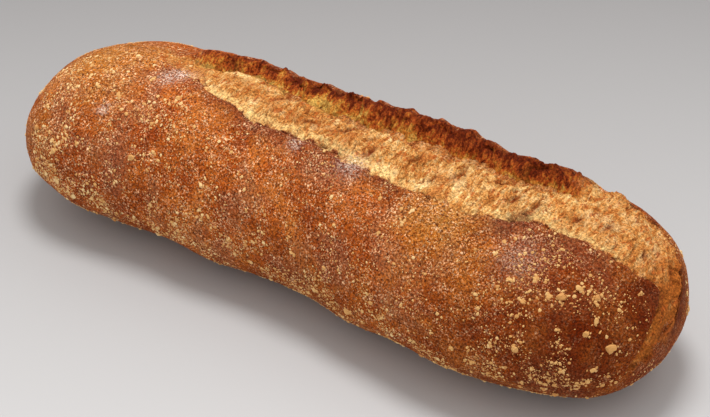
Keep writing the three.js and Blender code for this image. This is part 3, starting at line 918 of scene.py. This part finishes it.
def turned_to(normals, spin):
    """Rotation matrices whose third axis is the normal, each spun about it."""
    side = np.cross(normals, [0.36, 0.48, 0.8])
    side /= np.linalg.norm(side, axis=1, keepdims=True)
    other = np.cross(normals, side)
    c, s = np.cos(spin)[:, None], np.sin(spin)[:, None]
    return np.stack([c * side + s * other, c * other - s * side, normals], axis=2)


def grains(name, x, angle, radius, shape, sink, cuts, rough, ball, seed):
    rng = np.random.default_rng(seed)
    count = len(x)
    ball_points, ball_faces = template(*ball)
    centres, parts = skin(x, angle)
    torn = parts["lead"] > 0
    if torn.any():
        centres[torn] = slash_skin(parts["place"][torn], parts["y"][torn], 0)[0]
    normals = outward(centres)
    sizes = radius[:, None] * rng.uniform(*shape, (count, 3))
    sizes[:, 2] = radius * shape[0]
    local = np.repeat(ball_points[None], count, axis=0)
    for _ in range(cuts):
        way = rng.standard_normal((count, 1, 3))
        way /= np.linalg.norm(way, axis=-1, keepdims=True)
        beyond = (local * way).sum(axis=-1, keepdims=True) - rng.uniform(*CUT_DISTANCE, (count, 1, 1))
        local = local - np.clip(beyond, 0, None) * way
    local = local * rng.uniform(1 - rough, 1 + rough, (count, len(ball_points), 1))
    local = local * sizes[:, None]
    turns = turned_to(normals, rng.uniform(0, 2 * math.pi, count))
    placed = np.einsum("nij,nkj->nki", turns, local)
    placed += (centres - normals * (radius * sink)[:, None] + SHIFT)[:, None]
    placed = np.clip(placed, low, high)
    faces = ball_faces[None] + (np.arange(count) * len(ball_points))[:, None, None]
    mesh = bpy.data.meshes.new(name)
    mesh.from_pydata(placed.reshape(-1, 3) * MM, [], faces.reshape(-1, 3))
    piece = bpy.data.objects.new(name, mesh)
    bpy.context.scene.collection.objects.link(piece)
    # Grits in the darker patches are painted more toasted; these patches are partly painted shade.
    tone = rng.uniform(0, 1, count) * (1 - 0.45 * spots(body_point(x, angle), DARKER))
    paint(piece, "tone", np.repeat(tone, len(ball_points)))
    print(name, count, "grains,", len(mesh.polygons), "faces")
    return piece


CHIP = (bmesh.ops.create_icosphere, {"subdivisions": 2})
SPLINTER = (bmesh.ops.create_icosphere, {"subdivisions": 1})
SPECK = (bmesh.ops.create_uvsphere, {"u_segments": 4, "v_segments": 2})

coarse_grits = grains(
    "coarse_grits", grit_places[:, 0], grit_places[:, 1], grit_places[:, 2],
    shape=GRIT_SHAPE, sink=-GRIT_STAND, cuts=5, rough=0.16, ball=CHIP, seed=1,
)

# %% [markdown]
# The smaller sizes are thrown the same way. Clusters come from a slow noise: meal is taken up
# in drifts, so a place near a kept grain is likelier to keep one too.

# %% Scatter the middle grits and the fine meal
MEAL_DRIFT = 11
MEAL_TIP_MARGIN = 1.5
MEAL_LOWEST = 0.6
MEAL_ON_SLASH = -78


def scatter(count, seed, bare):
    rng = np.random.default_rng(seed)
    kept_x, kept_angle = [], []
    while sum(map(len, kept_x)) < count:
        x = rng.uniform(-1, 1, 2 * count) * (LENGTH / 2 - MEAL_TIP_MARGIN)
        angle = rng.uniform(0, 2 * math.pi, len(x))
        points = body_point(x, angle)
        density = (bare + (1 - bare) * grit_density(x, angle)) * (1 - 0.45 * spots(points, DARKER))
        likely = rng.uniform(0, 1, len(x)) < density * section_scale(x)
        x, angle, points = x[likely], angle[likely], points[likely]
        parts = slash_parts(points)
        clear = ((parts["lead"] < -0.4) | (parts["place"] < MEAL_ON_SLASH)) & (points[:, 2] > MEAL_LOWEST)
        drift = np.clip(0.4 + 2.6 * noise_at(points, MEAL_DRIFT, seed=9), 0.04, 1)
        keep = clear & (rng.uniform(0, 1, len(x)) < drift)
        kept_x.append(x[keep])
        kept_angle.append(angle[keep])
    return np.concatenate(kept_x)[:count], np.concatenate(kept_angle)[:count]


def small_radius(count, low, high, seed):
    return low + (high - low) * np.random.default_rng(seed).uniform(0, 1, count) ** 2


def beside(places, each, seed):
    """A few addresses close round each large grit, where its own crumbs stuck."""
    rng = np.random.default_rng(seed)
    x, angle, radius = (np.repeat(column, each) for column in places.T)
    reach = radius * rng.uniform(0.7, 1.5, len(x))
    turn = rng.uniform(0, 2 * math.pi, len(x))
    section = np.linalg.norm(body_point(x, angle)[:, 1:] - [0, WAIST_HEIGHT], axis=1)
    return x + reach * np.cos(turn), angle + reach * np.sin(turn) / section


middle_x, middle_angle = scatter(3200, seed=11, bare=0.03)
crumbs_x, crumbs_angle = beside(grit_places, 4, seed=14)
middle_x, middle_angle = np.append(middle_x, crumbs_x), np.append(middle_angle, crumbs_angle)
middle_grits = grains(
    "middle_grits", middle_x, middle_angle, small_radius(len(middle_x), 0.4, 1.0, 12),
    shape=(0.6, 1.35), sink=0.1, cuts=3, rough=0.12, ball=SPLINTER, seed=13,
)
fine_x, fine_angle = scatter(15000, seed=21, bare=0.2)
fine_meal = grains(
    "fine_meal", fine_x, fine_angle, small_radius(len(fine_x), 0.2, 0.45, 22),
    shape=(0.7, 1.4), sink=0.15, cuts=0, rough=0, ball=SPECK, seed=23,
)

# %% [markdown]
# ## Colours and materials
#
# Screen colours are stored as sRGB, while a render adds up light, so a listed colour is
# turned linear first. One small helper adds a node with its settings and its links.

# %% Material helpers


def linear(hex_colour):
    channels = [int(hex_colour[i:i + 2], 16) / 255 for i in (1, 3, 5)]
    return [c / 12.92 if c <= 0.04045 else ((c + 0.055) / 1.055) ** 2.4 for c in channels] + [1]


def add_node(tree, kind, settings=None, links=None):
    made = tree.nodes.new(kind)
    for key, value in (settings or {}).items():
        if key in made.inputs:
            made.inputs[key].default_value = value
        else:
            setattr(made, key, value)
    for key, source in (links or {}).items():
        tree.links.new(source, made.inputs[key])
    return made


def new_material(name):
    material = bpy.data.materials.new(name)
    material.use_nodes = True
    material.node_tree.nodes.clear()
    return material, material.node_tree


def ramp(tree, factor, stops):
    made = add_node(tree, "ShaderNodeValToRGB", links={"Fac": factor})
    elements = made.color_ramp.elements
    while len(elements) < len(stops):
        elements.new(0.5)
    for element, (position, colour) in zip(elements, stops):
        element.position = position
        element.color = linear(colour)
    return made.outputs["Color"]


def mask(tree, name):
    return add_node(tree, "ShaderNodeAttribute", {"attribute_name": name}).outputs["Fac"]


def sums(tree, operation, a, b):
    made = add_node(tree, "ShaderNodeMath", {"operation": operation})
    for socket, value in zip(made.inputs, (a, b)):
        if isinstance(value, (int, float)):
            socket.default_value = value
        else:
            tree.links.new(value, socket)
    return made.outputs["Value"]


def blend_colours(tree, factor, a, b, blend_type="MIX"):
    made = add_node(tree, "ShaderNodeMix", {"data_type": "RGBA", "blend_type": blend_type})
    for socket, value in zip((made.inputs[0], made.inputs[6], made.inputs[7]), (factor, a, b)):
        if isinstance(value, (int, float, list)):
            socket.default_value = value
        else:
            tree.links.new(value, socket)
    return made.outputs[2]


def pattern(tree, size_mm, detail=2.0, stretch=(1, 1, 1), distortion=0.0, roughness=0.5):
    """Noise on the loaf's own millimetres, from 0 to 1."""
    where = add_node(tree, "ShaderNodeTexCoord").outputs["Object"]
    scale = [1 / (size_mm * MM * s) for s in stretch]
    spread = add_node(tree, "ShaderNodeMapping", {"Scale": scale}, {"Vector": where})
    texture = add_node(tree, "ShaderNodeTexNoise", {
        "Scale": 1.0, "Detail": detail, "Roughness": roughness, "Distortion": distortion,
    }, {"Vector": spread.outputs["Vector"]})
    return texture.outputs["Fac"]


def remap(tree, value, low, high, to_low=0.0, to_high=1.0):
    return add_node(tree, "ShaderNodeMapRange", {
        "From Min": low, "From Max": high, "To Min": to_low, "To Max": to_high,
    }, {"Value": value}).outputs["Result"]


def finish_surface(tree, colour, roughness, height, distance_mm, strength, settings):
    bump = add_node(tree, "ShaderNodeBump", {"Strength": strength, "Distance": distance_mm * MM},
                    {"Height": height})
    links = {"Base Color": colour, "Normal": bump.outputs["Normal"]}
    if roughness is not None:
        links["Roughness"] = roughness
    surface = add_node(tree, "ShaderNodeBsdfPrincipled", settings, links)
    add_node(tree, "ShaderNodeOutputMaterial", links={"Surface": surface.outputs["BSDF"]})


# %% [markdown]
# ## Baked crust and torn crumb
#
# Crust is starch and sugar browned in the oven: orange-brown, scorched dark on thin edges, and
# painted darker at the right end and along the lower near side, partly a browner bake and partly
# painted shade. Up close it is a mass of pits and meal specks under a millimetre, dark beside
# bright. The torn crumb is the same dough with no skin: golden, matt, toasted orange-brown on the
# ridges along its folds, with painted shade in its fold grooves, cracks and low places. Both
# scatter light from a dry, floury surface, so they hardly shine.

# %% Crust colours
crust_material, tree = new_material("baked corn crust and torn crumb")
broad = pattern(tree, 30, detail=3)
patchy = pattern(tree, 9, detail=4, roughness=0.6)
sandy = pattern(tree, 0.7, detail=2, roughness=0.7)
pits = pattern(tree, 1.0, detail=3, roughness=0.75, distortion=0.6)
tone = sums(tree, "ADD", sums(tree, "MULTIPLY", broad, 0.5), sums(tree, "MULTIPLY", patchy, 0.5))
crust_colour = ramp(tree, tone, [(0.4, "#943E0E"), (0.5, "#AC5214"), (0.6, "#C26C28")])
# A pale mauve film in patches over the crust: partly flour dust, partly a painted sheen.
dust_and_sheen = remap(tree, pattern(tree, 19, detail=3, distortion=0.5), 0.48, 0.62, 0.0, 0.5)
crust_colour = blend_colours(tree, dust_and_sheen, crust_colour, linear("#965A3E"))
# The darker patches: partly a browner bake, partly painted shade.
darker_mix = sums(tree, "MULTIPLY", mask(tree, "darker"), remap(tree, patchy, 0.35, 0.6, 1.0, 0.75))
crust_colour = blend_colours(tree, darker_mix, crust_colour, linear("#5A1A00"))
gold_mix = sums(tree, "MULTIPLY", mask(tree, "gold"), remap(tree, sandy, 0.4, 0.55, 0.35, 1.0))
crust_colour = blend_colours(tree, gold_mix, crust_colour, linear("#B8782A"))

# %% Specks of fine meal and pits, too small to model
MEAL_CELL = 1.5
pit_mix = remap(tree, pits, 0.38, 0.52, 0.9, 0.0)
crust_colour = blend_colours(tree, pit_mix, crust_colour, linear("#5C1C00"))
meal_here = remap(tree, pattern(tree, 5, detail=3, roughness=0.6), 0.44, 0.6, 0.2, 1.0)
# Fewer meal specks in the darker patches, which are partly painted shade.
meal_here = sums(tree, "MULTIPLY", meal_here, remap(tree, mask(tree, "darker"), 0.0, 1.0, 1.0, 0.12))
speck_mix = sums(tree, "MULTIPLY", remap(tree, sandy, 0.53, 0.62, 0.0, 0.9), meal_here)
crust_colour = blend_colours(tree, speck_mix, crust_colour, linear("#EEB688"))
where = add_node(tree, "ShaderNodeTexCoord").outputs["Object"]
cells = add_node(tree, "ShaderNodeTexVoronoi", {"Scale": 1 / (MEAL_CELL * MM), "Randomness": 1.0},
                 {"Vector": where})
grain_size = add_node(tree, "ShaderNodeSeparateColor", links={"Color": cells.outputs["Color"]})
dot_reach = remap(tree, grain_size.outputs[0], 0.55, 1.0, 0.0, 0.36)
dot = sums(tree, "LESS_THAN", cells.outputs["Distance"], dot_reach)
dots = sums(tree, "MULTIPLY", dot, meal_here)
crust_colour = blend_colours(tree, dots, crust_colour, linear("#F4C494"))

# %% Crumb colours
fibres = pattern(tree, 1.6, detail=4, stretch=(1, 3, 2), distortion=0.8, roughness=0.65)
drifts = pattern(tree, 9, detail=3, distortion=0.5)
crumb_tone = sums(tree, "ADD", sums(tree, "MULTIPLY", fibres, 0.6), sums(tree, "MULTIPLY", drifts, 0.4))
crumb_colour = ramp(tree, crumb_tone, [
    (0.37, "#904E1E"), (0.45, "#BC7A3A"), (0.52, "#D29E5C"), (0.62, "#ECC88C"),
])
toasted_tips = remap(tree, mask(tree, "tooth"), 0.7, 2.4, 0.0, 0.75)
crumb_colour = blend_colours(tree, toasted_tips, crumb_colour, linear("#B86C34"))
# Painted shade: the crumb's low places between its crags are darkened.
low_place_shade = remap(tree, mask(tree, "tooth"), -1.9, -0.5, 0.8, 0.0)
crumb_colour = blend_colours(tree, low_place_shade, crumb_colour, linear("#A2561A"))
baked = remap(tree, drifts, 0.35, 0.6, 0.2, 0.9)
crumb_colour = blend_colours(tree, sums(tree, "MULTIPLY", mask(tree, "toasted"), baked), crumb_colour,
                             linear("#A65C22"))
flecks = remap(tree, pattern(tree, 2, detail=3, stretch=(1, 2.4, 1), roughness=0.6), 0.56, 0.62, 0.0, 0.75)
crumb_colour = blend_colours(tree, flecks, crumb_colour, linear("#A4501E"))
cream_mix = sums(tree, "MULTIPLY", mask(tree, "cream"), remap(tree, fibres, 0.35, 0.6, 0.15, 0.8))
crumb_colour = blend_colours(tree, cream_mix, crumb_colour, linear("#E6C27E"))
# Painted shade: the crumb's cracks and fold grooves darken to deep red-brown.
crumb_colour = blend_colours(tree, sums(tree, "MULTIPLY", mask(tree, "creased"), 0.95), crumb_colour,
                             linear("#6E2A08"))
skin_colour = blend_colours(tree, mask(tree, "crumb"), crust_colour, crumb_colour)

# %% Scorched edges and bench flour
scorch_mix = sums(tree, "MULTIPLY", mask(tree, "scorch"), remap(tree, sandy, 0.3, 0.6, 0.9, 0.45))
skin_colour = blend_colours(tree, scorch_mix, skin_colour, linear("#54241A"))
flour_mix = sums(tree, "MULTIPLY", mask(tree, "flour"), remap(tree, sandy, 0.46, 0.57, 0.05, 1.0))
skin_colour = blend_colours(tree, flour_mix, skin_colour, linear("#E6D4C4"))

# %% The ear's inner face, from golden root to scorched rim
mottle = pattern(tree, 2.0, detail=4, stretch=(0.8, 2, 1.6), distortion=0.4, roughness=0.7)
webs = pattern(tree, 7, detail=2, distortion=0.4)
ear_fray = sums(tree, "ADD", mask(tree, "up_ear"), remap(tree, mottle, 0.3, 0.7, -0.52, 0.48))
ear_fray = sums(tree, "ADD", ear_fray, remap(tree, webs, 0.35, 0.65, -0.2, 0.2))
ear_colour = ramp(tree, ear_fray, [
    (0.0, "#C49A4C"), (0.32, "#B4722A"), (0.62, "#9E481A"), (0.95, "#581C06"),
])
# Painted shade: the pockets under the ear and the line along its root darken to olive-brown.
pocket_shade = remap(tree, mask(tree, "pocket"), 0.5, 2.2, 0.0, 0.75)
ear_colour = blend_colours(tree, pocket_shade, ear_colour, linear("#5A340E"))
skin_colour = blend_colours(tree, mask(tree, "inner"), skin_colour, ear_colour)
rim_mix = sums(tree, "MULTIPLY", mask(tree, "rim"), remap(tree, mottle, 0.35, 0.6, 0.95, 0.35))
skin_colour = blend_colours(tree, rim_mix, skin_colour, linear("#561C06"))
skin_colour = blend_colours(tree, mask(tree, "seam"), skin_colour, linear("#4A1E0C"))
speckle = pattern(tree, 0.85, detail=2, roughness=0.7, distortion=0.3)
grain = remap(tree, speckle, 0.36, 0.64, 0.48, 1.5)
grey = add_node(tree, "ShaderNodeCombineColor", links={0: grain, 1: grain, 2: grain})
skin_colour = blend_colours(tree, 1.0, skin_colour, grey.outputs["Color"], "MULTIPLY")

# %% Crust finish
height = sums(tree, "ADD", speckle, sums(tree, "ADD", sums(tree, "MULTIPLY", dot, 0.3), pits))
finish_surface(tree, skin_colour, None, height, distance_mm=0.5, strength=0.6, settings={
    "Roughness": 0.82, "IOR": 1.45, "Specular IOR Level": 0.08,
})

# %% [markdown]
# ## Grit finish
#
# Corn grits are hard, slightly glassy chips of endosperm. In the oven they toast from pale
# yellow to gold, more on one than on the next.

# %% Grit material
grit_material, tree = new_material("toasted corn grits")
grain_tone = mask(tree, "tone")
chip = pattern(tree, 0.7, detail=3, roughness=0.7)
grit_tone = sums(tree, "ADD", sums(tree, "MULTIPLY", grain_tone, 0.6), sums(tree, "MULTIPLY", chip, 0.4))
grit_colour = ramp(tree, grit_tone, [(0.15, "#C88A4A"), (0.4, "#DCA662"), (0.6, "#E8BC7C"), (0.8, "#F2D29A")])
finish_surface(tree, grit_colour, None, chip, distance_mm=0.35, strength=0.7, settings={
    "Roughness": 0.6, "IOR": 1.45, "Specular IOR Level": 0.3,
})

# %% Give each piece its finish and its place in the frame
for piece, material in (
    (loaf, crust_material), (torn_slash, crust_material), (coarse_grits, grit_material),
    (middle_grits, grit_material), (fine_meal, grit_material),
):
    piece.data.materials.append(material)
    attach(piece, "root")
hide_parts("loaf")

# %% [markdown]
# ## Floor, light and camera
#
# The loaf lies on a pale floor that runs on past the view, painted darker towards the far side
# as a painted shade for the light's falloff. One large soft lamp hangs above and behind it, as
# the shadow under its near side shows, and the even sky fills the rest.
# The camera looks down on it from 36 degrees, with a lens long enough to keep both ends in size.

# %% Floor
FLOOR_SIZE = 6.0
ground = bmesh.new()
bmesh.ops.create_grid(ground, x_segments=1, y_segments=1, size=FLOOR_SIZE / 2)
floor = mesh_piece("pale_floor", ground)
floor_material, tree = new_material("pale matt board")
FAR_AWAY, CLOSE_BY = 0.24, -0.09
place = add_node(tree, "ShaderNodeSeparateXYZ",
                 links={"Vector": add_node(tree, "ShaderNodeTexCoord").outputs["Object"]})
depth = sums(tree, "ADD", sums(tree, "MULTIPLY", place.outputs["X"], -0.54),
             sums(tree, "MULTIPLY", place.outputs["Y"], 0.84))
nearness = remap(tree, depth, FAR_AWAY, CLOSE_BY)
paper = pattern(tree, 300, detail=1)
# Painted shade: the floor darkens towards the far side, standing in for the light's falloff.
floor_with_painted_falloff = ramp(tree, nearness, [(0.0, "#8C8A8A"), (1.0, "#BFBEBE")])
finish_surface(tree, floor_with_painted_falloff, None, paper, distance_mm=0.1, strength=0.05, settings={"Roughness": 0.9})
floor.data.materials.append(floor_material)

# %% Lights


def soft_lamp(name, place, aim, width, power, colour):
    lamp_data = bpy.data.lights.new(name, "AREA")
    lamp_data.shape = "DISK"
    lamp_data.size = width
    lamp_data.energy = power
    lamp_data.color = linear(colour)[:3]
    lamp = bpy.data.objects.new(name, lamp_data)
    lamp.location = place
    lamp.rotation_mode = "QUATERNION"
    lamp.rotation_quaternion = (Vector(aim) - Vector(place)).to_track_quat("-Z", "Y")
    bpy.context.scene.collection.objects.link(lamp)
    return lamp


soft_lamp("soft_top", (-0.1, 0.16, 1.2), (0, 0, 0.03), 0.45, 9.2, "#FFFFFF")
world = bpy.data.worlds.new("even_sky")
world.use_nodes = True
sky = world.node_tree.nodes["Background"]
sky.inputs["Color"].default_value = linear("#F8F6F4")
sky.inputs["Strength"].default_value = 0.9
bpy.context.scene.world = world
bpy.context.scene.view_settings.view_transform = "Standard"

# %% Camera
AIM = (8.18, 0.43, 35)
AZIMUTH, ELEVATION = 32.75, 36
CAMERA_DISTANCE = 850
LENS = 106.5
turn, tilt = math.radians(AZIMUTH), math.radians(ELEVATION)
back = Vector((math.sin(turn) * math.cos(tilt), -math.cos(turn) * math.cos(tilt), math.sin(tilt)))
camera_data = bpy.data.cameras.new("camera")
camera_data.lens = LENS
camera_data.sensor_width = 36
camera = bpy.data.objects.new("camera", camera_data)
camera.location = (Vector(AIM) + back * CAMERA_DISTANCE) * MM
camera.rotation_mode = "QUATERNION"
camera.rotation_quaternion = (-back).to_track_quat("-Z", "Y")
camera_data.clip_start = 0.05
bpy.context.scene.collection.objects.link(camera)
bpy.context.scene.camera = camera
